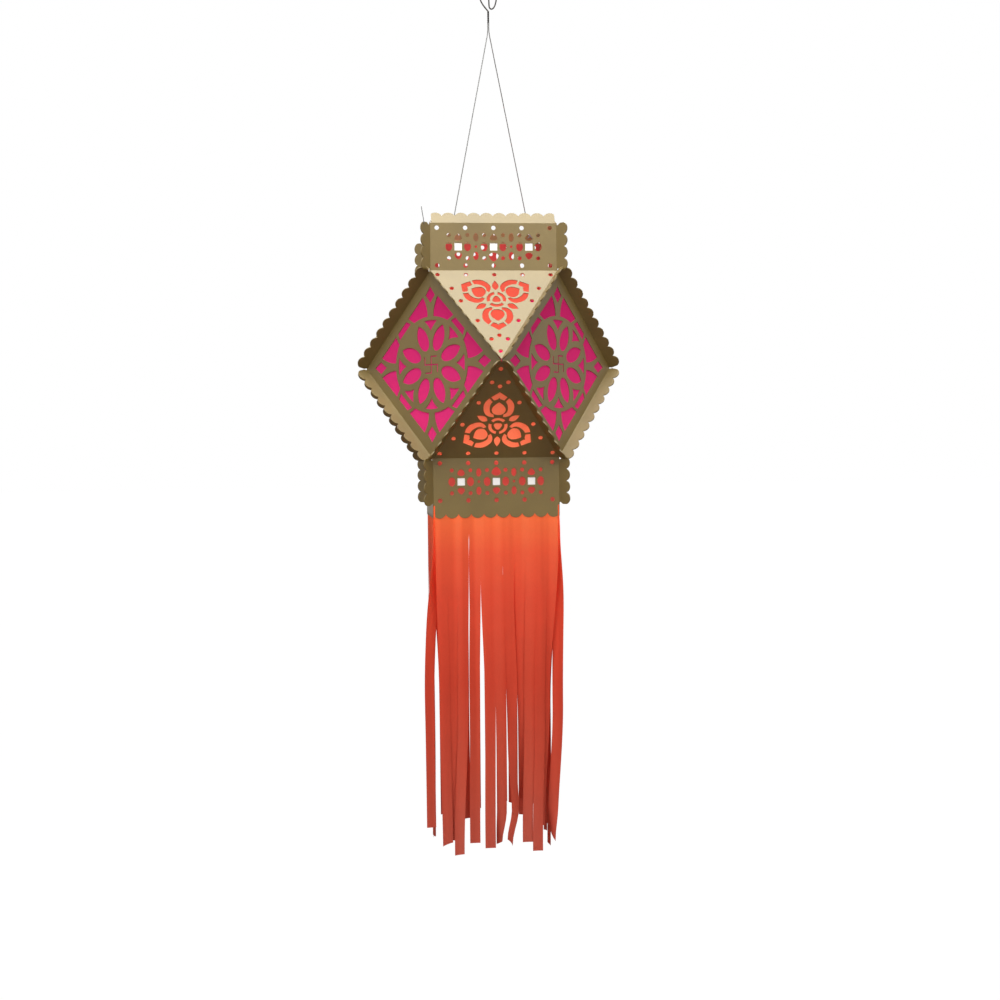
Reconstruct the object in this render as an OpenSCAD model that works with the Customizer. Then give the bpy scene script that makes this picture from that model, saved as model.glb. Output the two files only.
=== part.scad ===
// A hanging paper lantern. Its body is folded from gold card: a square collar at the
// top and at the bottom, a triangle below or above each side of a collar, and four
// square panels that stand on their corners between the triangles. Scalloped flanges
// are glued back to back along the edges. Punched patterns show coloured paper
// behind the card, and a fringe of paper strips hangs from the lower collar.
// The origin is where the wire hook hangs, and everything hangs below it, in -Z.

/* [Body] */
// Width of each collar, which is also how far the side corners stand out
collar_w = 130; // [122:1:170]
// Height from the middle of the body to each collar
body_half_h = 95; // [88:1:125]
// Height of each collar
collar_h = 48; // [44:1:60]
// Thickness of the gold card
card_t = 0.5; // [0.3:0.1:0.7]
// Thickness of the lining paper
paper_t = 0.2; // [0.1:0.05:0.4]
// Thickness of a line of glue between two sheets
glue_t = 0.05; // [0.03:0.01:0.1]

/* [Flanges] */
// How far a scalloped flange stands out from its fold
flange_d = 13; // [10:0.5:16]
// Scallops along a long edge
scallops = 10; // [7:1:14]
// Scallops along the short upright edge of a collar
collar_scallops = 4; // [3:1:6]
// How far a scallop's top is above the notches beside it
scallop_rise = 4.3; // [2.5:0.1:4.5]
// Length left bare at each end of a flange, so that flanges clear each other
flange_end = 2; // [2:0.1:4]
// How far the top flanges are folded inwards from upright
rim_fold = 30; // [10:1:45]
// How far the flanges of the lower triangles lean towards the square panels
lower_lean = 8; // [0:1:10]

/* [Dots] */
// Diameter of a punched dot in the card
dot_d = 4.5; // [3.5:0.1:5.5]
// Diameter of the smaller dot punched in the lining behind it
lining_dot_d = 3.1; // [2:0.1:3.4]
// Distance of a row of dots from the fold beside it
dot_inset = 5; // [4:0.1:6]
// Distance of the last dot of a row from the end of the fold
dot_end = 7.5; // [6.5:0.5:12]

/* [Collar pattern] */
// Distance between two rosettes
rosette_pitch = 36; // [33:0.5:38]
// Card left between a rosette and the rows of dots
rosette_gap = 3.2; // [2:0.1:6]
// How many times wider the petals near the body are on the middle rosette
middle_petal = 1.3; // [1:0.05:1.4]

/* [Triangle pattern] */
// Card left between the flower and the edges of the triangle
flower_gap = 12.5; // [10:0.5:16]

/* [Square panel pattern] */
// Width of the plain frame round the openwork
frame_w = 10.3; // [8:0.1:13]
// Width of the long slots beside the ring
slot_w = 7; // [5:0.1:8]
// Width of the bars of the openwork
bar_w = 3.8; // [2.5:0.1:4.2]
// Radius of the plain disc in the middle
hub_r = 15; // [13:0.5:16]
// Half the height of the traditional auspicious sign cut in the disc
sign_r = 9; // [7:0.5:10]
// Width of the slits of that sign
sign_slit = 1.2; // [0.8:0.1:1.6]
// Whether that sign is cut
show_sign = true; // [true, false]

/* [Fringe] */
// Paper strips on each side of the lower collar
strips = 11; // [8:1:14]
// Clear width left at each end of the fringe
fringe_end = 2; // [1.5:0.5:6]
// Length of the longest strip below the collar's lower fold
fringe_len = 358; // [250:1:420]
// Slit between two strips
strip_slit = 0.6; // [0.4:0.1:1]
// Thickness of the strips' paper
strip_t = 0.3; // [0.2:0.1:0.4]

/* [Hanging] */
// Height from the middle of the body up to where the hook hangs
drop = 410; // [400:1:520]
// How far the hook stands to the right of the body's middle line
hang_shift = 3.5; // [0:0.5:6]
// Height of the hook's open loop
loop_h = 33; // [28:1:38]
// Width of the hook's open loop
loop_w = 18; // [14:0.5:22]
// Length of the hook's twisted stem
stem_len = 12; // [8:1:16]
// Diameter of the hook's wire
wire_d = 1.5; // [1:0.1:2]
// Diameter of the hanging thread
thread_d = 1; // [0.8:0.1:1.2]
// Diameter of a knot in the thread
knot_d = 3; // [2.5:0.1:3.6]

/* [Hidden] */

gold = "darkkhaki";
coral = "salmon";
pink = "deeppink";
orange = "orangered";

// Steps along a curve
curve_steps = 7;
dot_sides = 24;

half_w = collar_w / 2;
// From a collar's fold down the middle of a triangle to its tip
slant_h = norm([half_w, body_half_h]);
edge_len = norm([half_w, half_w, body_half_h]);
// How far a triangle slopes away from upright
slope = atan2(half_w, body_half_h);
// Half the angle inside the body between a triangle and a square panel
half_dihedral = 90 - acos(body_half_h / slant_h / sqrt(2)) / 2;
half_corner = 45;

// Corners of the body, seen from the front
collar_left = [-half_w, -half_w, body_half_h];
collar_right = [half_w, -half_w, body_half_h];
rim_left = collar_left + [0, 0, collar_h];
rim_right = collar_right + [0, 0, collar_h];
tip = [0, -collar_w, 0];

// Outward directions of the faces
front = [0, -1, 0];
triangle_out = [0, -body_half_h, half_w] / slant_h;
square_left_out = [-1, -1, 0] / sqrt(2);
square_right_out = [1, -1, 0] / sqrt(2);

// Measures of the square panels
square_half_w = collar_w / sqrt(2);
square_half_h = body_half_h;
square_inner_r = square_half_w * square_half_h / norm([square_half_w, square_half_h]);
slot_out = square_inner_r - frame_w;
ring_out = slot_out - slot_w;
ring_in = ring_out - bar_w;

// Pieces of paper that lie one behind the other start at these depths
lining_z = card_t + glue_t;
lining_back = lining_z + paper_t;
lining_in = 0.4;
// The tips of a triangle's top corners, cut off so that they clear the next panel's
corner_cut = 0.2;

function unit(v) = v / norm(v);
function arc(c, r, a, b, steps = curve_steps) =
    [for (i = [0:steps]) c + r * [cos(a + (b - a) * i / steps), sin(a + (b - a) * i / steps)]];
// Points of a curve from a to c that is drawn towards b
function bend(a, b, c, steps = curve_steps) =
    [for (i = [0:steps]) let (t = i / steps) (1 - t) * (1 - t) * a + 2 * t * (1 - t) * b + t * t * c];
function flip(points) = [for (i = [len(points) - 1:-1:0]) [-points[i].x, points[i].y]];
// How much a sheet at this depth draws back from a mitred edge
function edge_back(depth, half_angle) = depth / tan(half_angle) + glue_t;
// How much further a sheet stays from the edges when it isn't the outer one
function set_back(near) = near > 0 ? lining_in : 0;
// How much a sheet's back face passes the valley fold under a collar
function fold_lap(depth) = depth * tan(slope / 2);

// Puts a flat drawing at a place, with its x and y along these two directions
module on_plane(place, x_way, y_way) {
    z_way = cross(x_way, y_way);
    multmatrix([
        [x_way.x, y_way.x, z_way.x, place.x],
        [x_way.y, y_way.y, z_way.y, place.y],
        [x_way.z, y_way.z, z_way.z, place.z],
        [0, 0, 0, 1]
    ]) children();
}

// A sheet between two depths behind a face
module sheet(near, far) {
    translate([0, 0, -far]) linear_extrude(far - near) children();
}

module quarter_turns(number) {
    rotate(90 * number) children();
}

// A strip along an edge with scallops on its outer side; its ends can be set in or trimmed to a slant
module scallop_strip(length, count, root, set_in = 0, trim = 0) {
    pitch = length / count;
    r = (pitch * pitch / 4 + scallop_rise * scallop_rise) / (2 * scallop_rise);
    band = flange_d - scallop_rise - 0.1;
    intersection() {
        union() {
            translate([flange_end, -root]) square([length - 2 * flange_end, root + band]);
            intersection() {
                translate([set_in, 0]) square([length - 2 * set_in, flange_d + 1]);
                for (i = [0:count - 1]) {
                    translate([(i + 0.5) * pitch, flange_d - r]) circle(r = r, $fn = 48);
                }
            }
        }
        if (trim > 0) {
            polygon([
                [flange_end, -root - 1], [length - flange_end, -root - 1], [length - flange_end, 0],
                [length - flange_end - trim, flange_d + 1], [flange_end + trim, flange_d + 1],
                [flange_end, 0]
            ]);
        } else {
            translate([0, -root - 1]) square([length, root + flange_d + 2]);
        }
    }
}

// One panel's half of a glued fin, on that panel's side of the glue
module glued_flange(from, to, out, face_out, count, half_angle) {
    along = unit(to - from);
    side = cross(along, out) * face_out > 0 ? 1 : -1;
    on_plane(from, along, out)
        translate([0, 0, side > 0 ? glue_t / 2 : -glue_t / 2 - card_t])
            linear_extrude(card_t)
                scallop_strip(norm(to - from), count, card_t / sin(half_angle));
}

// The way a fin points between two faces, leaning towards the second one
function fin_out(face_a, face_b, lean) =
    let (middle = unit(face_a + face_b), to_b = unit(face_b - (face_b * middle) * middle))
    cos(lean) * middle + sin(lean) * to_b;

module dot(place, d) {
    translate(place) circle(d = d, $fn = dot_sides);
}

module oval(place, w, h) {
    steps = 20;
    polygon([for (i = [0:steps - 1]) place + [w / 2 * cos(360 * i / steps), h / 2 * sin(360 * i / steps)]]);
}

// A blunt petal that points along +y, with its base at the origin
module blunt_petal(w, h) {
    side = concat(bend([0, 0], [0.3, -0.02], [0.46, 0.3]), bend([0.46, 0.34], [0.36, 0.8], [0, 1]));
    points = concat(side, flip(side));
    polygon([for (p = points) [p.x * w, p.y * h]]);
}

module rosette(size, near_petal, middle) {
    hole = 0.56;
    petal_near = 0.44;
    petal_w = 0.62;
    petal_h = 0.52;
    side_petal = 0.7;
    dot_place = [0.7, 0.86];
    if (middle) square(hole * size, center = true);
    for (x = [-1, 1]) {
        oval([x * side_petal * size, 0], petal_h * size, 0.68 * size);
        for (y = [-1, 1]) dot([x * dot_place.x, y * dot_place.y] * size, 0.9 * dot_d);
    }
    translate([0, petal_near * size]) blunt_petal(petal_w * size, petal_h * size);
    rotate(180) translate([0, petal_near * size])
        blunt_petal(near_petal * petal_w * size, near_petal * petal_h * size);
}

// Holes of a collar, from the middle of its fold with a triangle
module collar_holes(middle = true) {
    mid = collar_h / 2;
    size = mid - dot_inset - dot_d / 2 - rosette_gap;
    dot_pitch = (half_w - dot_end) / 2;
    for (i = [-2:2], y = [dot_inset, collar_h - dot_inset]) dot([i * dot_pitch, y], dot_d);
    for (i = [-1:1]) {
        translate([i * rosette_pitch, mid]) rosette(size, i == 0 ? middle_petal : 1, middle);
    }
    for (x = [-rosette_pitch / 2, rosette_pitch / 2]) {
        dot([x, mid], 0.6 * dot_d);
        for (y = [-1, 1]) oval([x, mid + 0.69 * y * size], 1.2 * dot_d, 0.62 * size);
    }
}

// Dots of a triangle, from the middle of its fold with a collar, towards its tip
module triangle_dots(d) {
    side_dots = 5;
    tilt = atan2(half_w, slant_h);
    inner = dot_inset + 0.7;
    for (i = [0:side_dots - 1]) {
        dot([(i - 2) * (half_w - dot_end) / 2, inner], d);
    }
    for (x = [-1, 1]) {
        for (share = [0.235, 0.375, 0.6, 0.8]) {
            off = share == 0.235 || share == 0.6 ? 1.15 * inner : inner;
            foot = [half_w * (1 - share), slant_h * share];
            dot([x * (foot.x - off * cos(tilt)), foot.y - off * sin(tilt)], d);
        }
    }
    dot([0, slant_h - inner / sin(tilt) + 1], d);
    dot([0, slant_h * 0.735], d);
}

// A lotus that points along +y, drawn round the flower's middle
module lotus(s) {
    bud = concat(
        bend([0, 12.6], [5.6, 12.2], [6.8, 18]),
        bend([6.8, 18.4], [6.9, 22.6], [0, 27.2])
    );
    ring = concat(
        bend([4.4, 10.2], [14.8, 9.6], [15, 21.4]),
        bend([15, 21.8], [14.8, 27.4], [9.5, 31.6]),
        [[6.3, 27.6]],
        bend([6.5, 27.2], [8.8, 24.4], [8.8, 19.6]),
        bend([8.8, 19.2], [8.6, 14.4], [4.8, 13.4])
    );
    cap = [[8, 32.8], [0, 38.6], [-8, 32.8], [-4.9, 28.9], [-1.2, 30.4], [0, 32], [1.2, 30.4], [4.9, 28.9]];
    polygon(concat(bud, flip(bud)) * s);
    polygon(ring * s);
    polygon(flip(ring) * s);
    polygon(cap * s);
}

// The flower of a triangle, from the middle of its fold with a collar
module flower() {
    middle_h = slant_h / 3;
    reach = 25.1;
    s = (middle_h - flower_gap) / reach;
    arc_in = 6.3;
    arc_out = 9.5;
    arc_half = 48;
    translate([0, middle_h]) {
        polygon(s * [for (i = [0:23]) let (a = i * 15) (3.9 + 0.5 * cos(3 * (a + 90))) * [cos(a), sin(a)]]);
        for (turn = [0, 120, 240]) rotate(turn) {
            lotus(s);
            polygon(s * concat(
                arc([0, 0], arc_out, 90 - arc_half, 90 + arc_half),
                arc([0, 0], arc_in, 90 + arc_half, 90 - arc_half)
            ));
            polygon(s * concat(
                bend([0, -12], [6.4, -15.6], [0, -24]),
                bend([0, -24], [-6.4, -15.6], [0, -12])
            ));
        }
    }
}

// A leaf of the openwork, along +x
module leaf() {
    leaf_tip = ring_in - 0.6 * bar_w;
    belly = hub_r + 0.44 * (leaf_tip - hub_r);
    half = belly * sin(22.5) - bar_w * 0.86;
    inner = [for (a = [90:15:270]) [belly + (belly - hub_r) * cos(a), half * sin(a)]];
    outer = bend([belly, half], [belly + 0.62 * (leaf_tip - belly), half], [leaf_tip, 0]);
    back = [for (i = [len(outer) - 1:-1:0]) [outer[i].x, -outer[i].y]];
    polygon(concat(outer, back, [for (i = [len(inner) - 1:-1:0]) inner[i]]));
}

// An opening between two leaves and the ring, along +x
module web_cell() {
    half_turn = 11.2;
    near = ring_in * 0.745;
    corner = ring_in * [cos(half_turn), sin(half_turn)];
    side = bend([near, 0], [near + 0.5 * (corner.x - near), 0.24 * corner.y], corner);
    rim = arc([0, 0], ring_in, half_turn, -half_turn);
    back = [for (i = [len(side) - 1:-1:0]) [side[i].x, -side[i].y]];
    polygon(concat(side, rim, back));
}

// A long slot beside the ring, on the side along +x
module side_slot() {
    polygon([[ring_out + 0.6, -11], [slot_out, -8.3], [slot_out, 8.3], [ring_out + 0.6, 11]]);
}

// One of the two large cells beside a corner, between the side along +x and the corner at 45 degrees
module corner_cell() {
    kite_half = 6.3;
    slot_end = 8.5 + bar_w;
    first = 17.6;
    last = 45 - asin(bar_w / ring_out);
    axis_way = [1, 1] / sqrt(2);
    away = [1, -1] / sqrt(2);
    low = ring_out * [cos(last), sin(last)];
    bow = low + 10.7 * axis_way;
    high = [slot_out, slot_out - sqrt(2) * (kite_half + bar_w)];
    polygon(concat(
        [[slot_out, slot_end]],
        arc([0, 0], ring_out, first, last),
        bend(low, bow, high)
    ));
}

// The small kite in a corner, along +x
module kite() {
    far = sqrt(2) * slot_out;
    half = 6.3;
    polygon([[far, 0], [far - 1.38 * half, half], [far - 2.66 * half, 0], [far - 1.38 * half, -half]]);
}

module sign() {
    for (turn = [0:90:270]) rotate(turn) {
        translate([-sign_slit / 2, -sign_slit / 2]) square([sign_slit, sign_r + sign_slit / 2]);
        translate([-sign_slit / 2, sign_r - sign_slit]) square([sign_r - sign_slit / 2, sign_slit]);
    }
}

// The openwork of a square panel, from its middle; one cell at the upper left stays uncut
module openwork() {
    uncut = 135;
    for (k = [0:7]) {
        rotate(22.5 + 45 * k) leaf();
        if (45 * k != uncut) rotate(45 * k) web_cell();
    }
    for (k = [0:3]) {
        rotate(45 + 90 * k) side_slot();
        rotate(90 * k) kite();
        rotate(45 + 90 * k) corner_cell();
        rotate(45 + 90 * k) mirror([0, 1]) corner_cell();
    }
    if (show_sign) sign();
}

// A collar's face between two depths; the holes are given as children
module collar_face(near, far) {
    back = edge_back(far, half_corner) + set_back(near);
    lap = fold_lap(far);
    on_plane([0, -half_w, body_half_h], [1, 0, 0], [0, 0, 1])
        sheet(near, far)
            difference() {
                translate([-half_w + back, -lap])
                    square([collar_w - 2 * back, collar_h + lap - 2 * near]);
                children();
            }
}

module triangle_plane() {
    on_plane([0, -half_w, body_half_h], [-1, 0, 0], unit([0, -half_w, -body_half_h])) children();
}

module triangle_outline(near, far, lean) {
    tilt = atan2(half_w, slant_h);
    back = edge_back(far, half_dihedral - lean) + set_back(near);
    side = half_w - back / cos(tilt) - corner_cut;
    top = corner_cut / tan(tilt);
    polygon([[-side, -fold_lap(far)], [side, -fold_lap(far)], [side, top],
             [0, slant_h - back / sin(tilt)], [-side, top]]);
}

// The four flanges at the sides of a collar and a triangle
module side_flanges(lean) {
    left_out = fin_out(triangle_out, square_left_out, lean);
    right_out = fin_out(triangle_out, square_right_out, lean);
    glued_flange(collar_left, tip, left_out, triangle_out, scallops, half_dihedral);
    glued_flange(collar_right, tip, right_out, triangle_out, scallops, half_dihedral);
    glued_flange(collar_left, rim_left, square_left_out, front, collar_scallops, half_corner);
    glued_flange(collar_right, rim_right, square_right_out, front, collar_scallops, half_corner);
}

// The flange along the outer edge of a collar, folded in by an angle
module rim_flange(fold, trim) {
    on_plane(rim_left, [1, 0, 0], [0, sin(fold), cos(fold)])
        sheet(0, card_t) scallop_strip(collar_w, scallops, fold == 0 ? card_t : 0, flange_end, trim);
}

// A folded card: collar, triangle and their flanges
module folded_panel(fold, lean, trim) {
    color(gold) {
        collar_face(0, card_t) collar_holes();
        triangle_plane() sheet(0, card_t) difference() {
            triangle_outline(0, card_t, lean);
            triangle_dots(dot_d);
            flower();
        }
        side_flanges(lean);
        rim_flange(fold, trim);
    }
}

// The paper behind a folded card; the upper one is punched like the card, but not in
// the flower and in the middle of the rosettes
module folded_lining(lean, punched) {
    color(coral) {
        collar_face(lining_z, lining_back) if (punched) collar_holes(false);
        triangle_plane() sheet(lining_z, lining_back) difference() {
            triangle_outline(lining_z, lining_back, lean);
            if (punched) triangle_dots(lining_dot_d);
        }
    }
}

module square_outline(far) {
    back = edge_back(far, half_dihedral - lower_lean);
    grow = 1 - back / square_inner_r;
    polygon(grow * [[square_half_w, 0], [0, square_half_h], [-square_half_w, 0], [0, -square_half_h]]);
}

module square_plane() {
    on_plane([-half_w, -half_w, 0], [1, -1, 0] / sqrt(2), [0, 0, 1]) children();
}

// The openwork panel between the front and the left side, with its four flanges
module square_panel() {
    color(gold) {
        square_plane() sheet(0, card_t) difference() {
            square_outline(card_t);
            openwork();
        }
        half_panel_flanges(0);
        mirror([0, 0, 1]) half_panel_flanges(lower_lean);
    }
}

// The flanges along the two upper edges of the front left square panel
module half_panel_flanges(lean) {
    side_tip = [-collar_w, 0, 0];
    left_triangle_out = [triangle_out.y, 0, triangle_out.z];
    front_way = fin_out(triangle_out, square_left_out, lean);
    left_way = fin_out(left_triangle_out, square_left_out, lean);
    glued_flange(collar_left, tip, front_way, square_left_out, scallops, half_dihedral);
    glued_flange(collar_left, side_tip, left_way, square_left_out, scallops, half_dihedral);
}

module square_paper() {
    color(pink) square_plane() sheet(lining_z, lining_back) square_outline(lining_back);
}

// How much of the full length each strip keeps, in turn
strip_share = [0.93, 0.97, 0.97, 1, 0.9, 0.97, 0.985, 0.975, 0.965, 0.97, 1, 0.94];

// A sheet cut into strips, glued behind the front flange of the lower collar
module fringe(shift) {
    width = collar_w - 2 * fringe_end;
    pitch = width / strips;
    top = -body_half_h - collar_h - 1;
    head = flange_d - 2;
    color(orange)
        on_plane([-width / 2, -half_w, top], [1, 0, 0], [0, 0, 1])
            sheet(lining_z, lining_z + strip_t) {
                translate([0, -head]) square([width, head]);
                for (i = [0:strips - 1]) {
                    length = fringe_len * strip_share[(i + shift) % len(strip_share)];
                    translate([i * pitch + strip_slit / 2, -length])
                        square([pitch - strip_slit, length]);
                }
            }
}

// Routes of the two halves of the hanging thread, from the body up to the hook
thread_front_route = [
    [-42.5, -57.8, -258], [-40.8, -55.5, -250], [-37.7, -51.2, -235], [-34.6, -46.9, -220],
    [-31.5, -42.6, -205], [-28.4, -38.4, -190], [-25.3, -34.1, -175], [-22.2, -29.8, -160],
    [-19.1, -25.5, -145], [-15.9, -21.2, -130], [-12.8, -16.9, -115], [-9.7, -12.6, -100],
    [-6.6, -8.3, -85], [-3.5, -4, -70], [-1.4, -1.2, -60], [-0.6, -0.3, -54],
    [-0.55, 0, -50], [-0.55, 0, -45.8]
];
thread_back_route = [
    [48.5, 57.8, -258], [46.6, 55.5, -250], [43, 51.2, -235], [39.5, 46.9, -220],
    [35.9, 42.6, -205], [32.4, 38.4, -190], [28.8, 34.1, -175], [25.2, 29.8, -160],
    [21.7, 25.5, -145], [18.1, 21.2, -130], [14.6, 16.9, -115], [11, 12.6, -100],
    [7.4, 8.3, -85], [3.9, 4, -70], [1.5, 1.2, -60], [0.6, 0.3, -54],
    [0.55, 0, -50], [0.55, 0, -45.8]
];

function spot(route, i) = route[min(max(i, 0), len(route) - 1)];
// Rings of points round a route, each square to the route's direction there
function rings(route, r, sides) = [
    for (i = [0:len(route) - 1])
        let (
            way = unit(spot(route, i + 1) - spot(route, i - 1)),
            aside = unit(cross(way, [0, 1, 0.001])),
            other = cross(way, aside)
        )
        for (k = [0:sides - 1])
            let (a = 360 * k / sides) route[i] + r * (cos(a) * aside + sin(a) * other)
];
module tube(route, d, sides) {
    last = len(route) - 1;
    faces = concat(
        [[for (k = [0:sides - 1]) k]],
        [[for (k = [sides - 1:-1:0]) last * sides + k]],
        [
            for (i = [0:last - 1], k = [0:sides - 1])
                let (a = i * sides + k, b = i * sides + (k + 1) % sides) [a, a + sides, b + sides, b]
        ]
    );
    polyhedron(rings(route, d / 2, sides), faces, convexity = 4);
}

thread_sides = 8;
wire_sides = 12;

module thread(route) {
    color("gray") tube(route, thread_d, thread_sides);
}

// A knot at the lower end of a thread, inside the rim
module knot(route) {
    gap = 0.02;
    way = unit(route[0] - route[1]);
    color("gray") translate(route[0] + (knot_d / 2 + gap) * way) sphere(d = knot_d, $fn = 24);
}

// The wire hook: a twisted stem, and a loop whose right side curls back to the stem's top
module hanging_hook() {
    mid = loop_w / 2;
    head = -wire_d / 2 - loop_h;
    loop = [
        [0, 0, head], [-0.14 * mid, 0, head + 0.1 * loop_h], [-0.62 * mid, 0, head + 0.28 * loop_h],
        [-0.93 * mid, 0, head + 0.48 * loop_h], [-mid, 0, head + 0.66 * loop_h],
        [-0.82 * mid, 0, head + 0.86 * loop_h], [-0.4 * mid, 0, head + 0.98 * loop_h],
        [0, 0, head + loop_h + wire_d / 2 + wire_d / 2],
        [0.4 * mid, 0, head + 0.98 * loop_h], [0.82 * mid, 0, head + 0.86 * loop_h],
        [mid, 0, head + 0.66 * loop_h], [0.96 * mid, 0, head + 0.4 * loop_h],
        [0.8 * mid, 0, head + 0.2 * loop_h], [0.5 * mid, 0, head + 0.1 * loop_h],
        [0.22 * mid, 0, head + 0.14 * loop_h], [0.16 * mid, 0, head + 0.24 * loop_h]
    ];
    color("dimgray") {
        translate([0, 0, head - stem_len]) cylinder(d = 1.5 * wire_d, h = stem_len, $fn = 24);
        tube(loop, wire_d, wire_sides);
    }
}

// Moves a piece drawn round the body's middle to where the body hangs
module on_body() {
    translate([-hang_shift, 0, -drop]) children();
}

module upper_panel(turn) {
    on_body() quarter_turns(turn)
        folded_panel(rim_fold, 0, turn % 2 == 0 ? 0 : flange_d * sin(rim_fold) + 2 * card_t);
}

module lower_panel(turn) {
    on_body() quarter_turns(turn) mirror([0, 0, 1]) folded_panel(0, lower_lean, 0);
}

module upper_lining(turn) {
    on_body() quarter_turns(turn) folded_lining(0, true);
}

module lower_lining(turn) {
    on_body() quarter_turns(turn) mirror([0, 0, 1]) folded_lining(lower_lean, false);
}

upper_panel(0);  // upper_panel_front
upper_panel(1);  // upper_panel_right
upper_panel(2);  // upper_panel_back
upper_panel(3);  // upper_panel_left
upper_lining(0);  // upper_lining_front
upper_lining(1);  // upper_lining_right
upper_lining(2);  // upper_lining_back
upper_lining(3);  // upper_lining_left
lower_panel(0);  // lower_panel_front
lower_panel(1);  // lower_panel_right
lower_panel(2);  // lower_panel_back
lower_panel(3);  // lower_panel_left
lower_lining(0);  // lower_lining_front
lower_lining(1);  // lower_lining_right
lower_lining(2);  // lower_lining_back
lower_lining(3);  // lower_lining_left
on_body() quarter_turns(0) square_panel();  // square_panel_front_left
on_body() quarter_turns(1) square_panel();  // square_panel_front_right
on_body() quarter_turns(2) square_panel();  // square_panel_back_right
on_body() quarter_turns(3) square_panel();  // square_panel_back_left
on_body() quarter_turns(0) square_paper();  // square_paper_front_left
on_body() quarter_turns(1) square_paper();  // square_paper_front_right
on_body() quarter_turns(2) square_paper();  // square_paper_back_right
on_body() quarter_turns(3) square_paper();  // square_paper_back_left
on_body() quarter_turns(0) fringe(0);  // fringe_front
on_body() quarter_turns(1) fringe(3);  // fringe_right
on_body() quarter_turns(2) fringe(6);  // fringe_back
on_body() quarter_turns(3) fringe(9);  // fringe_left
thread(thread_front_route);  // thread_front
thread(thread_back_route);  // thread_back
knot(thread_front_route);  // knot_front
knot(thread_back_route);  // knot_back
hanging_hook();
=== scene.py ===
"""Looks of the hanging paper lantern: camera, light, papers, card, fringe, thread and hook."""
import bpy
import math
import random
from mathutils import Matrix, Vector


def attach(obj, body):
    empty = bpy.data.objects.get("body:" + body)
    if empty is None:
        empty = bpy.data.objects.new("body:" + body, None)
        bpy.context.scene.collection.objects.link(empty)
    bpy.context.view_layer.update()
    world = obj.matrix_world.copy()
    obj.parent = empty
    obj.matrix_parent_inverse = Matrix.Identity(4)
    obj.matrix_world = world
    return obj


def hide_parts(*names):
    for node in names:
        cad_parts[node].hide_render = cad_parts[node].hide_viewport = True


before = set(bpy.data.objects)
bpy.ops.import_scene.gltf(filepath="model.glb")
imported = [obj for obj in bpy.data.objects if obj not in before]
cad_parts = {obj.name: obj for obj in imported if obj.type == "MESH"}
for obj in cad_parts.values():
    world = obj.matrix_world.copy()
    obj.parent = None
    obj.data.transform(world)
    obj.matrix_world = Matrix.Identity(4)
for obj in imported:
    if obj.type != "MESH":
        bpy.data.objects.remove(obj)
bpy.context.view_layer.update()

# Sizes are in millimetres where they are used with MM, and in metres elsewhere
MM = 0.001
SIDES = ("front", "right", "back", "left")
CORNERS = ("front_left", "front_right", "back_right", "back_left")
# The body's middle in the shared frame, whose origin is where the hook hangs
BODY = Vector((-3.5, 0.0, -410.0)) * MM
HALF_W = 65.0
BODY_HALF_H = 95.0
COLLAR_H = 48.0
RNG = random.Random(7)

# Camera

# Place in millimetres from the body's middle; yaw, pitch and roll in radians; lens and sensor in
# millimetres, and how far the camera sees in metres
CAMERA_PLACE = Vector((-137.9, -1473.4, -98.4))
CAMERA_YAW, CAMERA_PITCH, CAMERA_ROLL = -0.100, -0.028, -0.012
LENS = 50
SENSOR = 36
CLIP_END = 200


def make_camera():
    """The camera fitted to the photo."""
    sin, cos = math.sin, math.cos
    right = Vector((cos(CAMERA_YAW), sin(CAMERA_YAW), 0))
    ahead = Vector((-sin(CAMERA_YAW) * cos(CAMERA_PITCH), cos(CAMERA_YAW) * cos(CAMERA_PITCH),
                    sin(CAMERA_PITCH)))
    up = right.cross(ahead)
    x_way = cos(CAMERA_ROLL) * right + sin(CAMERA_ROLL) * up
    y_way = -sin(CAMERA_ROLL) * right + cos(CAMERA_ROLL) * up
    data = bpy.data.cameras.new("camera")
    data.lens = LENS
    data.sensor_width = SENSOR
    data.clip_end = CLIP_END
    camera = bpy.data.objects.new("camera", data)
    bpy.context.collection.objects.link(camera)
    matrix = Matrix((x_way, y_way, -ahead)).transposed().to_4x4()
    matrix.translation = BODY + CAMERA_PLACE * MM
    camera.matrix_world = matrix
    bpy.context.scene.camera = camera


make_camera()

# Material helpers


def new_material(name):
    """A material, its node tree, its shader and its output."""
    material = bpy.data.materials.new(name)
    material.use_nodes = True
    tree = material.node_tree
    return material, tree, tree.nodes["Principled BSDF"], tree.nodes["Material Output"]


def set_inputs(node, values):
    """Sets inputs of a node, given by name."""
    for name, value in values.items():
        node.inputs[name].default_value = value


def object_coords(tree):
    return tree.nodes.new("ShaderNodeTexCoord").outputs["Object"]


def noise(tree, coords, scale, detail, stretch=(1, 1, 1)):
    """Noise in object space, stretched along an axis; its scale is in cells a metre."""
    mapping = tree.nodes.new("ShaderNodeMapping")
    mapping.inputs["Scale"].default_value = stretch
    tree.links.new(coords, mapping.inputs["Vector"])
    node = tree.nodes.new("ShaderNodeTexNoise")
    set_inputs(node, {"Scale": scale, "Detail": detail})
    tree.links.new(mapping.outputs["Vector"], node.inputs["Vector"])
    return node.outputs["Fac"]


def grey(value):
    return (value, value, value)


def ramp(tree, value, stops):
    """A colour for a value from 0 to 1, through stops of (place, colour)."""
    node = tree.nodes.new("ShaderNodeValToRGB")
    elements = node.color_ramp.elements
    while len(elements) < len(stops):
        elements.new(0.5)
    for element, (place, colour) in zip(elements, stops):
        element.position = place
        element.color = (*colour, 1)
    tree.links.new(value, node.inputs["Fac"])
    return node.outputs["Color"]


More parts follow.
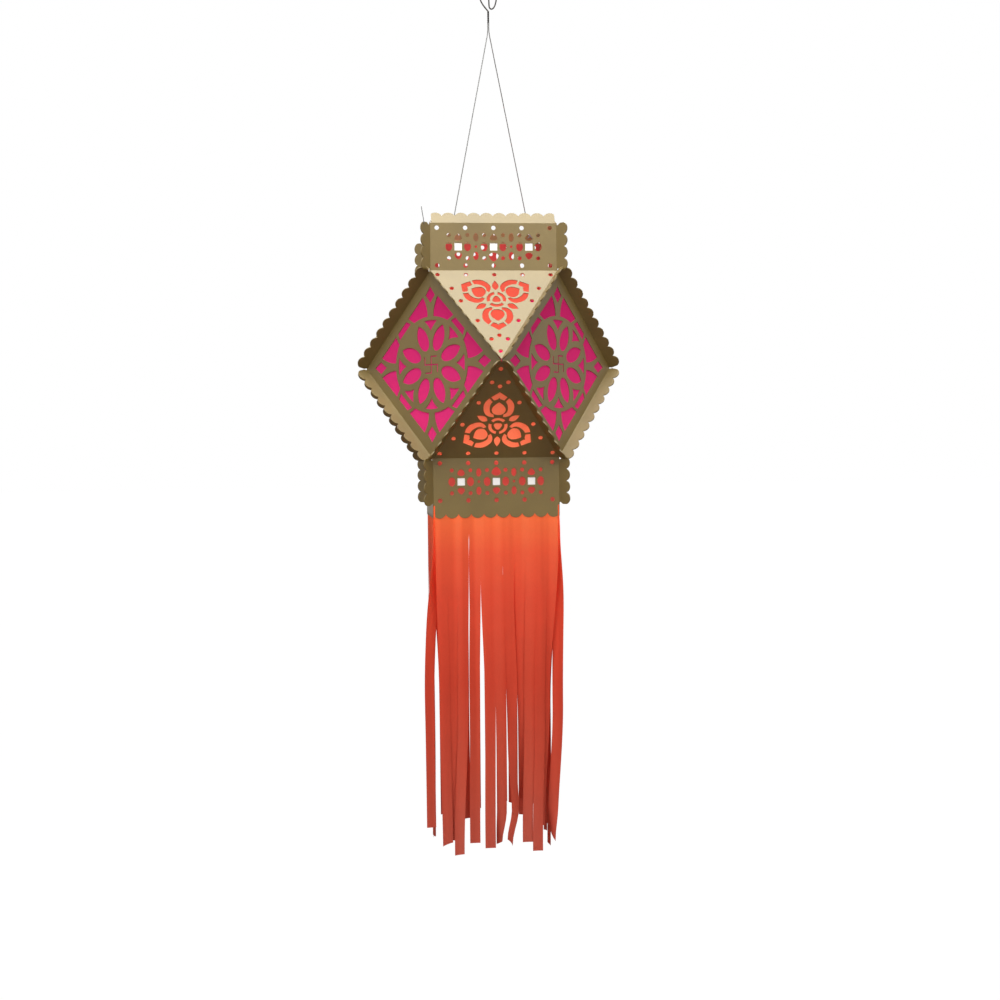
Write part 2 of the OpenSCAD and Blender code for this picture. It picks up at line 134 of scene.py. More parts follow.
def multiply(tree, amount, a, b):
    """Colour a, multiplied by colour b as far as amount says."""
    node = tree.nodes.new("ShaderNodeMix")
    node.data_type = "RGBA"
    node.blend_type = "MULTIPLY"
    node.inputs["Factor"].default_value = amount
    for socket, value in (("A", a), ("B", b)):
        target = [s for s in node.inputs if s.name == socket and s.type == "RGBA"][0]
        tree.links.new(value, target)
    return [s for s in node.outputs if s.type == "RGBA"][0]


def bump(tree, bsdf, heights):
    """Adds each (height, strength, distance in metres) to the shader's normal."""
    normal = None
    for height, strength, distance in heights:
        node = tree.nodes.new("ShaderNodeBump")
        set_inputs(node, {"Strength": strength, "Distance": distance})
        tree.links.new(height, node.inputs["Height"])
        if normal:
            tree.links.new(normal, node.inputs["Normal"])
        normal = node.outputs["Normal"]
    tree.links.new(normal, bsdf.inputs["Normal"])


# Materials

GOLD_DARK, GOLD_LIGHT = (0.146, 0.098, 0.020), (0.176, 0.120, 0.027)
THREAD_DARK, THREAD_LIGHT = (0.13, 0.127, 0.124), (0.19, 0.186, 0.182)
WIRE_DARK, WIRE_LIGHT = (0.018, 0.016, 0.015), (0.055, 0.048, 0.043)
# Heights in the shared frame between which each paper's colours change, in metres; the change paints light
# and shade into the coral and orange papers, and makes the pink paper darker towards the top
BODY_SPAN = (-0.56, -0.26)
SQUARES_SPAN = (-0.50, -0.32)
FRINGE_PAINTED_LIGHT_SPAN = (-0.91, -0.56)


def gold_card():
    """Pearl gold card: a brown-gold ground with a broad, pale sheen over it."""
    material, tree, bsdf, _ = new_material("pearl_gold_card")
    coords = object_coords(tree)
    cloud = noise(tree, coords, scale=28, detail=4)
    flakes = noise(tree, coords, scale=1500, detail=2)
    fibres = noise(tree, coords, scale=420, detail=5, stretch=(1, 1, 0.5))
    ground = ramp(tree, cloud, [(0.3, GOLD_DARK), (0.7, GOLD_LIGHT)])
    speckle = ramp(tree, flakes, [(0.35, grey(0.86)), (0.7, grey(1.0))])
    tree.links.new(multiply(tree, 0.6, ground, speckle), bsdf.inputs["Base Color"])
    set_inputs(bsdf, {
        "Metallic": 0.15, "Roughness": 0.50, "IOR": 1.45,
        "Coat Weight": 1.0, "Coat Roughness": 0.42, "Coat IOR": 1.5, "Coat Tint": (1.0, 0.97, 0.90, 1),
    })
    bump(tree, bsdf, [(fibres, 0.12, 0.0002), (flakes, 0.06, 0.0001)])
    return material


def paper(name, stops, span, see_through, banded=False):
    """Paper whose colour follows its height: painted light and shade in the coral and orange papers, and in
    the pink paper a colour that grows darker towards the top.

    see_through is the share of light that it lets through, and banded paper varies from strip to strip.
    """
    material, tree, bsdf, output = new_material(name)
    coords = object_coords(tree)
    split = tree.nodes.new("ShaderNodeSeparateXYZ")
    tree.links.new(coords, split.inputs[0])
    level = tree.nodes.new("ShaderNodeMapRange")
    set_inputs(level, {"From Min": span[0], "From Max": span[1]})
    tree.links.new(split.outputs["Z"], level.inputs["Value"])
    # The colour by height: painted light and shade for the coral and orange papers, darker towards the top
    # for the pink one
    ground = ramp(tree, level.outputs["Result"], stops)
    cloud = noise(tree, coords, scale=60, detail=5)
    fibres = noise(tree, coords, scale=900, detail=4, stretch=(1, 1, 0.35))
    shade = ramp(tree, cloud, [(0.3, (0.88, 0.86, 0.86)), (0.7, grey(1.0))])
    grain = ramp(tree, fibres, [(0.3, grey(0.90)), (0.7, grey(1.0))])
    colour = multiply(tree, 0.25, ground, shade)
    colour = multiply(tree, 0.4, colour, grain)
    if banded:
        tone = noise(tree, coords, scale=85, detail=1, stretch=(1, 1, 0.02))
        tint = ramp(tree, tone, [
            (0.36, (0.91, 0.84, 0.82)), (0.5, (0.98, 0.97, 0.97)), (0.64, (1.0, 1.12, 1.16)),
        ])
        colour = multiply(tree, 1.0, colour, tint)
    tree.links.new(colour, bsdf.inputs["Base Color"])
    set_inputs(bsdf, {"Roughness": 0.75, "Specular IOR Level": 0.25})
    bump(tree, bsdf, [(fibres, 0.15, 0.0001), (cloud, 0.25, 0.0006)])
    if see_through:
        glow = tree.nodes.new("ShaderNodeBsdfTranslucent")
        tree.links.new(colour, glow.inputs["Color"])
        mixer = tree.nodes.new("ShaderNodeMixShader")
        mixer.inputs["Fac"].default_value = see_through
        tree.links.new(bsdf.outputs[0], mixer.inputs[1])
        tree.links.new(glow.outputs[0], mixer.inputs[2])
        tree.links.new(mixer.outputs[0], output.inputs["Surface"])
    return material


def grey_thread():
    """Grey thread with slanting marks of its twist."""
    material, tree, bsdf, _ = new_material("grey_thread")
    twist = tree.nodes.new("ShaderNodeTexWave")
    twist.bands_direction = "DIAGONAL"
    set_inputs(twist, {"Scale": 420, "Distortion": 0.6})
    tree.links.new(object_coords(tree), twist.inputs["Vector"])
    colour = ramp(tree, twist.outputs["Fac"], [(0.1, THREAD_DARK), (0.9, THREAD_LIGHT)])
    tree.links.new(colour, bsdf.inputs["Base Color"])
    set_inputs(bsdf, {"Roughness": 0.85})
    bump(tree, bsdf, [(twist.outputs["Fac"], 0.25, 0.0002)])
    return material


def dark_wire():
    """Nearly black wire with a few worn, lighter spots."""
    material, tree, bsdf, _ = new_material("dark_wire")
    wear = noise(tree, object_coords(tree), scale=260, detail=4)
    colour = ramp(tree, wear, [(0.42, WIRE_DARK), (0.75, WIRE_LIGHT)])
    tree.links.new(colour, bsdf.inputs["Base Color"])
    set_inputs(bsdf, {"Metallic": 0.4, "Roughness": 0.45})
    bump(tree, bsdf, [(wear, 0.2, 0.0001)])
    return material


GOLD = gold_card()
# Painted light and shade: the coral lining is brighter over the lower half of the body, as painted light,
# and darker red over its upper half and at both collars, as painted shade
CORAL_PAINTED_LIGHT_AND_SHADE = paper(
    "coral_paper",
    [(0.16, (0.62, 0.115, 0.095)), (0.21, (0.86, 0.400, 0.250)), (0.48, (0.86, 0.390, 0.240)),
     (0.56, (0.66, 0.098, 0.056)), (0.79, (0.64, 0.094, 0.054)), (0.84, (0.60, 0.070, 0.062))],
    BODY_SPAN, see_through=0.5,
)
PINK = paper(
    "pink_paper", [(0, (0.80, 0.036, 0.240)), (1, (0.64, 0.010, 0.152))], SQUARES_SPAN, see_through=0.2,
)
WHITE = paper(
    "white_paper", [(0, (0.96, 0.95, 0.94)), (1, (0.97, 0.96, 0.95))], BODY_SPAN, see_through=0,
)
# Painted light: the orange fringe is brighter and stronger in colour towards its heads, under the body, and
# darker and duller towards its ends
ORANGE_PAINTED_LIGHT = paper(
    "orange_paper",
    [(0, (0.66, 0.125, 0.082)), (0.2, (0.70, 0.105, 0.058)), (0.5, (0.75, 0.080, 0.038)),
     (0.75, (0.84, 0.100, 0.046)), (0.88, (0.89, 0.140, 0.056)), (1, (0.95, 0.240, 0.075))],
    FRINGE_PAINTED_LIGHT_SPAN, see_through=0.35, banded=True,
)
THREAD = grey_thread()
WIRE = dark_wire()


def give(node_name, material):
    """Gives a CAD node its material."""
    obj = bpy.data.objects[node_name]
    for slot in obj.material_slots:
        slot.material = material
    if not obj.material_slots:
        obj.data.materials.append(material)


for side in SIDES:
    give("upper_panel_" + side, GOLD)
    give("lower_panel_" + side, GOLD)
    give("upper_lining_" + side, CORAL_PAINTED_LIGHT_AND_SHADE)
    give("lower_lining_" + side, CORAL_PAINTED_LIGHT_AND_SHADE)
for corner in CORNERS:
    give("square_panel_" + corner, GOLD)
    give("square_paper_" + corner, PINK)

# Mesh helpers

CREASE_ANGLE = math.radians(45)
# For each side, the way along it from left to right, seen from outside, and the way outwards
SIDE_WAYS = {
    "front": (Vector((1, 0, 0)), Vector((0, -1, 0))),
    "right": (Vector((0, 1, 0)), Vector((1, 0, 0))),
    "back": (Vector((-1, 0, 0)), Vector((0, 1, 0))),
    "left": (Vector((0, -1, 0)), Vector((-1, 0, 0))),
}


def mesh_object(name, verts, faces, material, smooth=True):
    """A new piece that rides on root, from vertices in metres."""
    mesh = bpy.data.meshes.new(name)
    mesh.from_pydata([tuple(v) for v in verts], [], faces)
    mesh.validate()
    mesh.update()
    mesh.materials.append(material)
    if smooth:
        mesh.polygons.foreach_set("use_smooth", [True] * len(mesh.polygons))
        mesh.set_sharp_from_angle(angle=CREASE_ANGLE)
    obj = bpy.data.objects.new(name, mesh)
    bpy.context.collection.objects.link(obj)
    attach(obj, "root")
    return obj


def add_tube(verts, faces, points, radius, sides):
    """Adds a round tube along points, closed at both ends."""
    start = len(verts)
    last = len(points) - 1
    aside = None
    for i, point in enumerate(points):
        way = (points[min(i + 1, last)] - points[max(i - 1, 0)]).normalized()
        if aside is None:
            aside = way.orthogonal().normalized()
        aside = (aside - aside.dot(way) * way).normalized()
        other = way.cross(aside)
        for k in range(sides):
            angle = 2 * math.pi * k / sides
            verts.append(point + radius * (math.cos(angle) * aside + math.sin(angle) * other))
    for i in range(last):
        ring = start + i * sides
        for k in range(sides):
            a, b = ring + k, ring + (k + 1) % sides
            faces.append((a, b, b + sides, a + sides))
    faces.append(tuple(start + k for k in range(sides - 1, -1, -1)))
    faces.append(tuple(start + last * sides + k for k in range(sides)))


def smooth_value(keys, t):
    """The value at t through keys of (t, value), eased between each two of them."""
    if t <= keys[0][0]:
        return keys[0][1]
    for (t0, v0), (t1, v1) in zip(keys, keys[1:]):
        if t <= t1:
            s = (t - t0) / (t1 - t0)
            s = s * s * (3 - 2 * s)
            return v0 + (v1 - v0) * s
    return keys[-1][1]


# Hanging thread

THREAD_D = 1.0 * MM
FRONT_ROUTE = [
    (-42.5, -57.8, -258), (-40.8, -55.5, -250), (-37.7, -51.2, -235), (-34.6, -46.9, -220),
    (-31.5, -42.6, -205), (-28.4, -38.4, -190), (-25.3, -34.1, -175), (-22.2, -29.8, -160),
    (-19.1, -25.5, -145), (-15.9, -21.2, -130), (-12.8, -16.9, -115), (-9.7, -12.6, -100),
    (-6.6, -8.3, -85), (-3.5, -4, -70), (-1.4, -1.2, -60), (-0.6, -0.3, -54),
    (-0.55, 0, -50), (-0.55, 0, -45.8),
]
BACK_ROUTE = [
    (48.5, 57.8, -258), (46.6, 55.5, -250), (43, 51.2, -235), (39.5, 46.9, -220),
    (35.9, 42.6, -205), (32.4, 38.4, -190), (28.8, 34.1, -175), (25.2, 29.8, -160),
    (21.7, 25.5, -145), (18.1, 21.2, -130), (14.6, 16.9, -115), (11, 12.6, -100),
    (7.4, 8.3, -85), (3.9, 4, -70), (1.5, 1.2, -60), (0.6, 0.3, -54),
    (0.55, 0, -50), (0.55, 0, -45.8),
]
# A loose end that stands up at the upper collar's front left corner, from the body's middle
TAIL_ROUTE = [(-70.6, -72.4, 141), (-71.2, -72.3, 146), (-72.2, -72.0, 152), (-73.0, -71.5, 158)]
# Radius of every loose end of thread, the knots' ones too
TAIL_R = 0.4
THREAD_SIDES = 8


def make_thread(side, route):
    """One half of the hanging thread, from inside the rim up to the hook's stem."""
    points = [Vector(p) * MM for p in route]
    curve = bpy.data.curves.new("thread_line_" + side, "CURVE")
    curve.dimensions = "3D"
    curve.bevel_depth = THREAD_D / 2
    curve.bevel_resolution = 3
    curve.use_fill_caps = True
    spline = curve.splines.new("POLY")
    spline.points.add(len(points) - 1)
    for target, point in zip(spline.points, points):
        target.co = (*point, 1)
    curve.materials.append(THREAD)
    obj = bpy.data.objects.new("thread_line_" + side, curve)
    bpy.context.collection.objects.link(obj)
    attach(obj, "root")
    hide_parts("thread_" + side)


KNOT_SCALE = 0.32
KNOT_DEPTH = 1.1
KNOT_R = 0.45
KNOT_STEPS = 60
# The knot's middle lies this far past the end of the thread
KNOT_PAST_END = 1.3
KNOT_TAIL_POINTS = 4
KNOT_TAIL_STEP = 1.2
KNOT_TAIL_SPREAD = 0.35


def make_knot(side, route):
    """A small tied knot: a tube along a trefoil, with two short tails."""
    end = Vector(route[0]) * MM
    way = (end - Vector(route[1]) * MM).normalized()
    centre = end + way * KNOT_PAST_END * MM
    loop = []
    for i in range(KNOT_STEPS + 1):
        t = 2 * math.pi * i / KNOT_STEPS
        trefoil = Vector((math.sin(t) + 2 * math.sin(2 * t), KNOT_DEPTH * math.sin(3 * t),
                          math.cos(t) - 2 * math.cos(2 * t)))
        loop.append(centre + KNOT_SCALE * MM * trefoil)
    verts, faces = [], []
    add_tube(verts, faces, loop, KNOT_R * MM, THREAD_SIDES)
    for lean in (-KNOT_TAIL_SPREAD, KNOT_TAIL_SPREAD):
        tail = [centre + way * k * KNOT_TAIL_STEP * MM + Vector((lean * k * k, 0, 0)) * MM
                for k in range(KNOT_TAIL_POINTS)]
        add_tube(verts, faces, tail, TAIL_R * MM, THREAD_SIDES)
    knot = mesh_object("tied_knot_" + side, verts, faces, THREAD)
    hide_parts("knot_" + side)


def make_thread_tail():
    verts, faces = [], []
    add_tube(verts, faces, [BODY + Vector(p) * MM for p in TAIL_ROUTE], TAIL_R * MM, THREAD_SIDES)
    mesh_object("thread_tail", verts, faces, THREAD)


make_thread("front", FRONT_ROUTE)
make_thread("back", BACK_ROUTE)
make_knot("front", FRONT_ROUTE)
make_knot("back", BACK_ROUTE)
make_thread_tail()

# Hook

LOOP_H = 33.0
LOOP_W = 18.0
STEM = 12.0
WIRE_D = 1.5
WIRE_SIDES = 12
# The loop's foot, below the shared frame's origin, which is the inside of its top
LOOP_FOOT = -WIRE_D / 2 - LOOP_H
# The open loop from its foot round to its curled end, in shares of its half width and its height
LOOP_SHAPE = [
    (0, 0), (-0.19, 0.065), (-0.61, 0.21), (-0.90, 0.375), (-1, 0.62), (-0.82, 0.86), (-0.4, 0.98),
    (0, 1 + WIRE_D / LOOP_H), (0.4, 0.98), (0.82, 0.86), (1, 0.62), (0.97, 0.375), (0.83, 0.21),
    (0.64, 0.115), (0.40, 0.075), (0.17, 0.12), (0.11, 0.24), (0.10, 0.37),
]
LOOP_STEPS = 6
STRAND_R = 0.56
STRAND_OFFSET = 0.58
STRAND_SIDES = 10
STRAND_STEPS = 40
STRAND_TURNS = 3
# The twisted strands start this far above the loop's foot
STRAND_RISE = 0.4


def curve_through(points, steps):
    """A smooth curve through flat points, with this many steps between each two."""
    path = []
    last = len(points) - 1
    for i in range(last):
        p0, p1, p2, p3 = points[max(i - 1, 0)], points[i], points[i + 1], points[min(i + 2, last)]
        for k in range(steps):
            t = k / steps
            path.append([
                0.5 * (2 * b + (c - a) * t + (2 * a - 5 * b + 4 * c - d) * t ** 2
                       + (3 * b - a - 3 * c + d) * t ** 3)
                for a, b, c, d in zip(p0, p1, p2, p3)
            ])
    path.append(points[last])
    return path


def make_hook():
    """The bent wire: two strands twisted into a stem, then one open loop that curls back."""
    shape = [(x * LOOP_W / 2, LOOP_FOOT + z * LOOP_H) for x, z in LOOP_SHAPE]
    loop = [Vector((x, 0, z)) * MM for x, z in curve_through(shape, LOOP_STEPS)]
    verts, faces = [], []
    add_tube(verts, faces, loop, WIRE_D / 2 * MM, WIRE_SIDES)
    for phase in (0, math.pi):
        strand = []
        for i in range(STRAND_STEPS + 1):
            t = i / STRAND_STEPS
            angle = phase + t * 2 * math.pi * STRAND_TURNS
            z = LOOP_FOOT + STRAND_RISE - STEM * t
            strand.append(Vector((STRAND_OFFSET * math.cos(angle), STRAND_OFFSET * math.sin(angle), z)) * MM)
        add_tube(verts, faces, strand, STRAND_R * MM, STRAND_SIDES)
    hook = mesh_object("bent_wire_hook", verts, faces, WIRE)
    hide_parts("hanging_hook")


make_hook()

# Fringe

STRIP_T = 0.16
STRIP_COUNT = 11
STRIP_PITCH = 11.45
STRIP_WIDTH = 10.8
FRINGE_TOP = -BODY_HALF_H - COLLAR_H - 1.0
FRINGE_END = -500.0
# The glued head of each sheet stays flat
HEAD_H = 11.0
SHEET_DEPTH = 0.62
STATIONS = 44
COLUMNS = 5
# How a strip changes from its head, at t = 0, to its end, at t = 1
NARROW_FROM = 0.10
NARROW_POWER = 1.5
NARROW_OVER = 0.6
SLANT_FROM = 0.9
WAVE_POWER = 1.5
CUP_POWER = 1.6
# Waves along a strip, outwards and aside, as angles over its whole length
OUT_WAVES = 6.5
ASIDE_WAVES = 5.0
ASIDE_SHARE = 0.35
ASIDE_PHASE = 1.7


def head_place(k):
    """The middle of strip k at the head of its sheet, from left to right."""
    return (k - (STRIP_COUNT - 1) / 2) * STRIP_PITCH


def drift(head, middle, end):
    """Keys for a strip that hangs straight from its head and then drifts aside."""
    return [(0, head), (0.12, head), (0.6, middle), (1, end)]


def twist(middle, end):
    """Keys, in degrees, for a strip that turns about its length below its head."""
    return [(0, 0), (0.15, 0), (0.6, middle), (1, end)]


def strip(place, end, out=(0, 0), turn=((0, 0), (1, 0)), slant=0, cup=None, wave=None,
          width=STRIP_WIDTH, narrow_over=NARROW_OVER):
    """What one strip is like, in millimetres from the body's middle.

    place and turn are keys of (t, value), with turn in degrees. end is the height of its end, out how far
    its middle and its end stand outwards, slant how much longer one edge is than the other, cup how
    hollow it is and wave how far it waves; a cup or wave that isn't given is random. It narrows from the
    pitch to its width over the share narrow_over of its length.
    """
    return {
        "place": place,
        "out": [(0, 0), (0.1, 0), (0.6, out[0]), (1, out[1])],
        "turn": turn,
        "end": end,
        "slant": slant,
        "cup": RNG.uniform(-0.9, 0.9) if cup is None else cup,
        "wave": RNG.uniform(0.5, 1.6) if wave is None else wave,
        "phase": RNG.uniform(0, 6.28),
        "rate": RNG.uniform(0.8, 1.3),
        "width": width,
        "narrow_over": narrow_over,
    }


def add_strip(verts, faces, side, form):
    """Adds one strip of paper to the mesh of its side."""
    along, out = SIDE_WAYS[side]
    length = FRINGE_TOP - form["end"]
    base = len(verts)
    for i in range(STATIONS + 1):
        t = i / STATIONS
        z = FRINGE_TOP - length * t
        below = max(0.0, (FRINGE_TOP - HEAD_H - z) / (length - HEAD_H))
        wave = form["wave"] * below ** WAVE_POWER
        aside_phase = ASIDE_PHASE * form["phase"] + ASIDE_WAVES * t * form["rate"]
        out_phase = form["phase"] + OUT_WAVES * t * form["rate"]
        u = smooth_value(form["place"], t) + ASIDE_SHARE * wave * math.sin(aside_phase)
        w = smooth_value(form["out"], t) + wave * math.sin(out_phase)
        turn = math.radians(smooth_value(form["turn"], t))
        centre = along * u + out * (HALF_W - SHEET_DEPTH + w) + Vector((0, 0, z))
        across = math.cos(turn) * along + math.sin(turn) * out
        normal = math.cos(turn) * out - math.sin(turn) * along
        cup = form["cup"] * below ** CUP_POWER
        narrowing = min(1.0, max(0.0, (t - NARROW_FROM) / form["narrow_over"]))
        width = STRIP_PITCH + (form["width"] - STRIP_PITCH) * narrowing ** NARROW_POWER
        slant = form["slant"] * max(0.0, (t - SLANT_FROM) / (1 - SLANT_FROM)) ** 2
        for k in range(COLUMNS + 1):
            v = k / COLUMNS - 0.5
            bow = cup * (4 * v * v - 0.5)
            place = centre + across * (v * width) + normal * bow + Vector((0, 0, slant * v))
            verts.append((BODY / MM + place + normal * STRIP_T / 2) * MM)
            verts.append((BODY / MM + place - normal * STRIP_T / 2) * MM)
    row = 2 * (COLUMNS + 1)
    for i in range(STATIONS):
        left = base + i * row
        right = left + 2 * COLUMNS
        for k in range(COLUMNS):
            a = left + 2 * k
            faces.append((a, a + row, a + row + 2, a + 2))
            faces.append((a + 1, a + 3, a + row + 3, a + row + 1))
        faces.append((left, left + 1, left + row + 1, left + row))
        faces.append((right, right + row, right + row + 1, right + 1))
    for k in range(COLUMNS):
        a = base + 2 * k
        faces.append((a, a + 2, a + 3, a + 1))
        a += STATIONS * row
        faces.append((a + 1, a + 3, a + 2, a))


def front_strips():
    """The front strips, each as the photo shows it."""
    return [
        strip(drift(head_place(0), -55.4, -54.6), -489, out=(0.5, 1.5), turn=twist(6, -14),
              slant=3, cup=1.2),
        strip(drift(head_place(1), -46.2, -48.6), -486, out=(0.2, -2.5), turn=twist(-8, 10), slant=-2),
        strip([(0, head_place(2)), (0.13, -34.9), (0.55, -36.9), (1, -42.4)], -500, out=(0.2, 3.0),
              slant=1, cup=0.3, wave=0.4, width=9.9, narrow_over=0.9),
        strip([(0, head_place(3)), (0.22, -23.1), (0.55, -24.9), (1, -26.3)], -489, out=(0.9, 1.0),
              cup=0.3, wave=0.3, width=10.6),
        strip([(0, head_place(4)), (0.22, -11.7), (0.55, -8.9), (1, -10.4)], -495, out=(0.0, 0.5),
              cup=0.3, wave=0.3),
        strip([(0, head_place(5)), (0.22, -0.3), (0.55, 2.0), (0.75, 2.2), (0.9, 2.0), (1, -0.6)], -491,
              out=(0.3, -3), turn=[(0, 0), (0.55, 2), (0.75, 14), (0.9, 24), (1, 62)],
              slant=5, cup=0.9, wave=0.4, width=10.7),
        strip([(0, head_place(6)), (0.28, 11.2), (0.55, 13.3), (0.75, 13.2), (0.9, 15.2), (1, 9.4)], -489,
              out=(0.7, 4), turn=[(0, 0), (0.5, 4), (0.66, 34), (0.85, 50), (1, 68)],
              slant=-4, cup=1.2, wave=0.9),
        strip(drift(head_place(7), 24.2, 26.3), -446, out=(-1.5, -4.0)),
        strip(drift(head_place(8), 31.4, 27.9), -490, out=(0.6, 1.0), cup=0.3, wave=0.5, width=10.6),
        strip(drift(head_place(9), 41.7, 38.0), -499, out=(1.3, 2.6), cup=0.4, wave=0.5, width=10.4),
        strip(drift(head_place(10), 47.6, 41.6), -475, out=(-1.2, -3.6), turn=twist(-14, -10)),
    ]


# Where the back strips hang, seen from the front: behind the front strips or in their gaps
BACK_X = [-49, -42, -34, -26.0, -13.6, 1.8, 15.4, 27.6, 38.5, 47, 57]
SHORT_BACK_STRIP = 2
EARLY_BACK_STRIPS = (3, 4)


def back_strips():
    """The back strips, which are a guess but for what shows between the front ones."""
    strips = []
    for k, x in enumerate(BACK_X):
        end = -475 if k == SHORT_BACK_STRIP else FRINGE_END + RNG.uniform(0, 26)
        turn = RNG.uniform(-10, 10)
        settled = 0.2 if k in EARLY_BACK_STRIPS else 0.6
        strips.append(strip([(0, -head_place(k)), (settled, -x), (1, -x)], end,
                            out=(RNG.uniform(-2.5, 0.5), RNG.uniform(-4, 1)),
                            turn=[(0, 0), (0.3, 0), (0.6, turn), (1, turn * 1.3)],
                            slant=RNG.uniform(-2, 2), width=10.4))
    return strips[::-1]


def right_strips():
    """The right side's strips: the nearest one turns to face the front, and the rest lean inwards."""
    u = head_place(0)
    strips = [strip([(0, u), (0.1, u), (0.3, u - 1), (1, u - 2)], -486, out=(-3.0, -9.5),
                    turn=[(0, 0), (0.08, -8), (0.36, -74), (0.7, -84), (0.9, -70), (1, -20)],
                    slant=9, cup=0.8, wave=0.3)]
    for k in range(1, STRIP_COUNT):
        u = head_place(k)
        lean = k - 11.5
        strips.append(strip(drift(u, u + RNG.uniform(-2, 2), u + RNG.uniform(-3, 3)),
                            FRINGE_END + RNG.uniform(0, 24),
                            turn=twist(RNG.uniform(-12, 12), RNG.uniform(-18, 18)),
                            out=(lean, lean - 1.5), wave=0.7, slant=RNG.uniform(-2, 2)))
    return strips


def left_strips():
    """The left side's strips, of which the nearest one, the last here, turns to face the front."""
    strips = []
    for k in range(STRIP_COUNT - 1):
        u = head_place(k)
        strips.append(strip(drift(u, u + RNG.uniform(-2, 2), u + RNG.uniform(-3, 3)),
                            FRINGE_END + RNG.uniform(0, 26),
                            turn=twist(RNG.uniform(-10, 10), RNG.uniform(-14, 14)),
                            out=(RNG.uniform(0.5, 2.5), RNG.uniform(0.5, 3.5)), wave=0.5,
                            slant=RNG.uniform(-2, 2)))
    u = head_place(STRIP_COUNT - 1)
    strips.append(strip([(0, u), (0.1, u), (0.35, u + 1.5), (1, u + 2)], -473, out=(6.3, 6.2),
                        turn=[(0, 0), (0.1, 6), (0.40, 74), (0.7, 84), (1, 82)],
                        cup=0.3, wave=0.2, width=9.6))
    return strips


def make_fringe(side, strips):
    """One sheet of the fringe, cut into strips."""
    verts, faces = [], []
    for entry in strips:
        add_strip(verts, faces, side, entry)
    obj = mesh_object("fringe_strips_" + side, verts, faces, ORANGE_PAINTED_LIGHT)
    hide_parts("fringe_" + side)


make_fringe("front", front_strips())
make_fringe("right", right_strips())
make_fringe("back", back_strips())
make_fringe("left", left_strips())

# White squares

SQUARE_SIDE = 9.4
SQUARE_T = 0.04
SQUARE_DEPTH = 0.525
ROSETTES = (-36.0, 0.0, 36.0)
ROSETTE_Z = 119.0


def add_plate(verts, faces, centre, along, out):
    """Adds a thin upright square plate that faces out."""
    base = len(verts)
    for w in (SQUARE_T / 2, -SQUARE_T / 2):
        for u, z in ((-0.5, -0.5), (0.5, -0.5), (0.5, 0.5), (-0.5, 0.5)):
            corner = centre + along * u * SQUARE_SIDE + out * w + Vector((0, 0, z * SQUARE_SIDE))
            verts.append(corner * MM)
    for face in ((0, 1, 2, 3), (7, 6, 5, 4), (0, 4, 5, 1), (1, 5, 6, 2), (2, 6, 7, 3), (3, 7, 4, 0)):
        faces.append(tuple(base + k for k in face))


def make_squares():
    """White paper squares that show through the middle hole of each rosette."""
    verts, faces = [], []
    for along, out in SIDE_WAYS.values():
        for level in (ROSETTE_Z, -ROSETTE_Z):
            for u in ROSETTES:
                centre = BODY / MM + along * u + out * (HALF_W - SQUARE_DEPTH) + Vector((0, 0, level))
                add_plate(verts, faces, centre, along, out)
    squares = mesh_object("white_squares", verts, faces, WHITE, smooth=False)


make_squares()

# Floor and world

FLOOR_Z = -1.6
FLOOR_HALF = 60
# The floor as the light sees it, which sends a little warm light back up
FLOOR_COLOUR = (0.30, 0.22, 0.16, 1)
# What the camera sees instead: this much of that floor, and the rest a white glow
FLOOR_SHARE = 0.07
FLOOR_GLOW = 1.07
SKY_COLOUR = (0.95, 0.97, 1.0, 1)
SKY_STRENGTH = 0.22


def make_floor():
    """A wide, pale floor below the lantern."""
    material, tree, bsdf, output = new_material("pale_floor")
    set_inputs(bsdf, {"Base Color": FLOOR_COLOUR, "Roughness": 0.9})
    glow = tree.nodes.new("ShaderNodeEmission")
    glow.inputs["Strength"].default_value = FLOOR_GLOW
    both = tree.nodes.new("ShaderNodeMixShader")
    both.inputs["Fac"].default_value = FLOOR_SHARE
    tree.links.new(glow.outputs[0], both.inputs[1])
    tree.links.new(bsdf.outputs[0], both.inputs[2])
    path = tree.nodes.new("ShaderNodeLightPath")
    mixer = tree.nodes.new("ShaderNodeMixShader")
    tree.links.new(path.outputs["Is Camera Ray"], mixer.inputs["Fac"])
    tree.links.new(bsdf.outputs[0], mixer.inputs[1])
    tree.links.new(both.outputs[0], mixer.inputs[2])
    tree.links.new(mixer.outputs[0], output.inputs["Surface"])
    corners = [(x * FLOOR_HALF, y * FLOOR_HALF, FLOOR_Z) for x, y in ((-1, -1), (1, -1), (1, 1), (-1, 1))]
    mesh = bpy.data.meshes.new("floor")
    mesh.from_pydata(corners, [], [(0, 1, 2, 3)])
    mesh.materials.append(material)
    floor = bpy.data.objects.new("floor", mesh)
    bpy.context.collection.objects.link(floor)


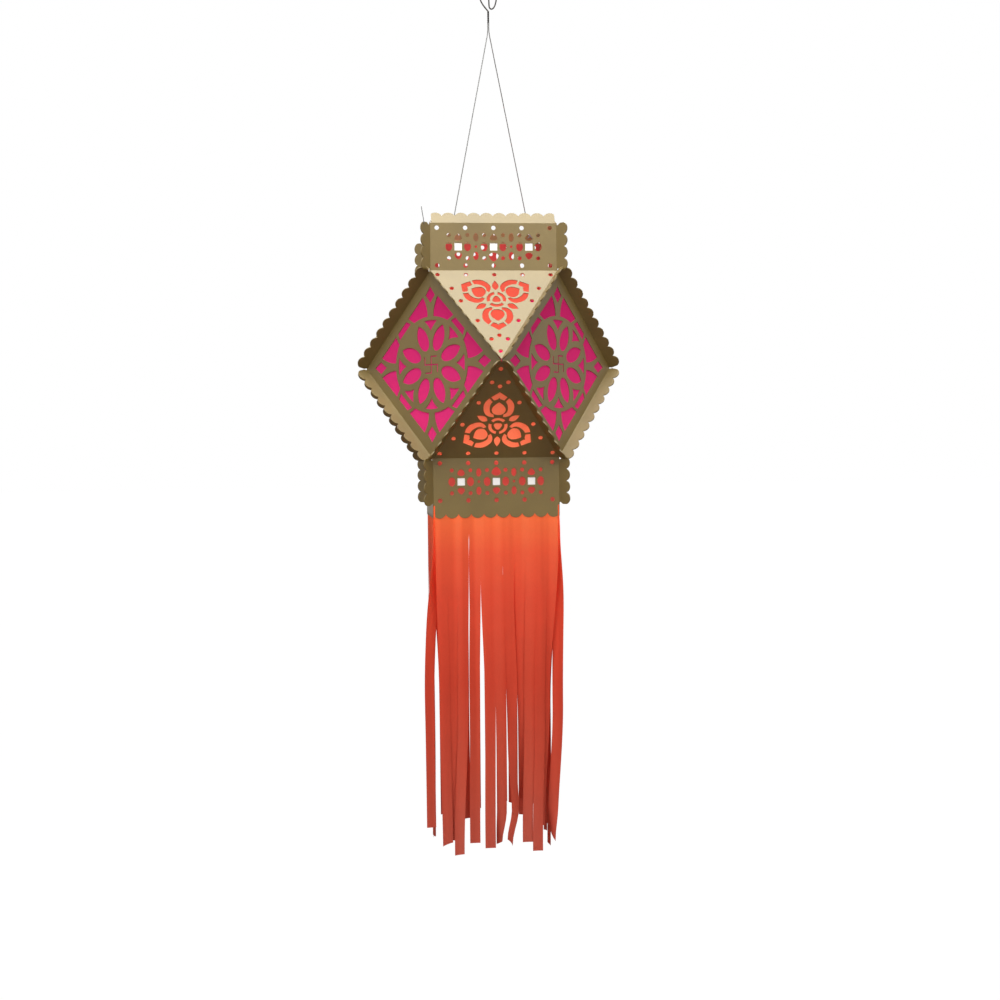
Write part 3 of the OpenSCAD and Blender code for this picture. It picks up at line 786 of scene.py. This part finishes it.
def make_world():
    """White for the rays that show the world itself, and a soft sky for the light."""
    world = bpy.data.worlds.new("studio")
    bpy.context.scene.world = world
    world.use_nodes = True
    tree = world.node_tree
    tree.nodes.clear()
    seen = tree.nodes.new("ShaderNodeBackground")
    set_inputs(seen, {"Color": (1, 1, 1, 1), "Strength": 1})
    light = tree.nodes.new("ShaderNodeBackground")
    set_inputs(light, {"Color": SKY_COLOUR, "Strength": SKY_STRENGTH})
    path = tree.nodes.new("ShaderNodeLightPath")
    shows = path.outputs["Is Camera Ray"]
    for ray in ("Is Glossy Ray", "Is Transmission Ray"):
        either = tree.nodes.new("ShaderNodeMath")
        either.operation = "MAXIMUM"
        tree.links.new(shows, either.inputs[0])
        tree.links.new(path.outputs[ray], either.inputs[1])
        shows = either.outputs[0]
    mixer = tree.nodes.new("ShaderNodeMixShader")
    output = tree.nodes.new("ShaderNodeOutputWorld")
    tree.links.new(shows, mixer.inputs["Fac"])
    tree.links.new(light.outputs[0], mixer.inputs[1])
    tree.links.new(seen.outputs[0], mixer.inputs[2])
    tree.links.new(mixer.outputs[0], output.inputs["Surface"])


make_floor()
make_world()

# Lamps

WHITE_LIGHT = (1.0, 1.0, 1.0)
LOWER_BODY = BODY + Vector((0, 0, -0.15))


def area_light(name, place, target, size, power, colour=WHITE_LIGHT):
    """A square lamp that points from place to target."""
    data = bpy.data.lights.new(name, "AREA")
    data.shape = "SQUARE"
    data.size = size
    data.energy = power
    data.color = colour
    lamp = bpy.data.objects.new(name, data)
    lamp.location = place
    lamp.rotation_euler = (target - Vector(place)).to_track_quat("-Z", "Y").to_euler()
    bpy.context.collection.objects.link(lamp)


def inner_light(place, radius, power, colour):
    """A soft glow inside the body, for the light that reaches the papers from behind."""
    data = bpy.data.lights.new("inner_light", "POINT")
    data.shadow_soft_size = radius
    data.energy = power
    data.color = colour
    lamp = bpy.data.objects.new("inner_light", data)
    lamp.location = place
    lamp.visible_camera = False
    bpy.context.collection.objects.link(lamp)


area_light("top_light", (-0.15, -0.60, 0.90), BODY, size=1.5, power=41, colour=(0.98, 1.0, 0.97))
area_light("left_front_light", (-1.35, -2.1, 0.75), LOWER_BODY, size=1.2, power=25)
area_light("right_front_light", (1.35, -2.0, 0.75), LOWER_BODY, size=1.2, power=23)
area_light("back_light", (0.6, 2.2, 0.4), BODY, size=1.4, power=42)
inner_light(BODY + Vector((0, 0, -0.06)), radius=0.03, power=0.8, colour=(1.0, 0.95, 0.9))

bpy.context.scene.view_settings.view_transform = "Standard"
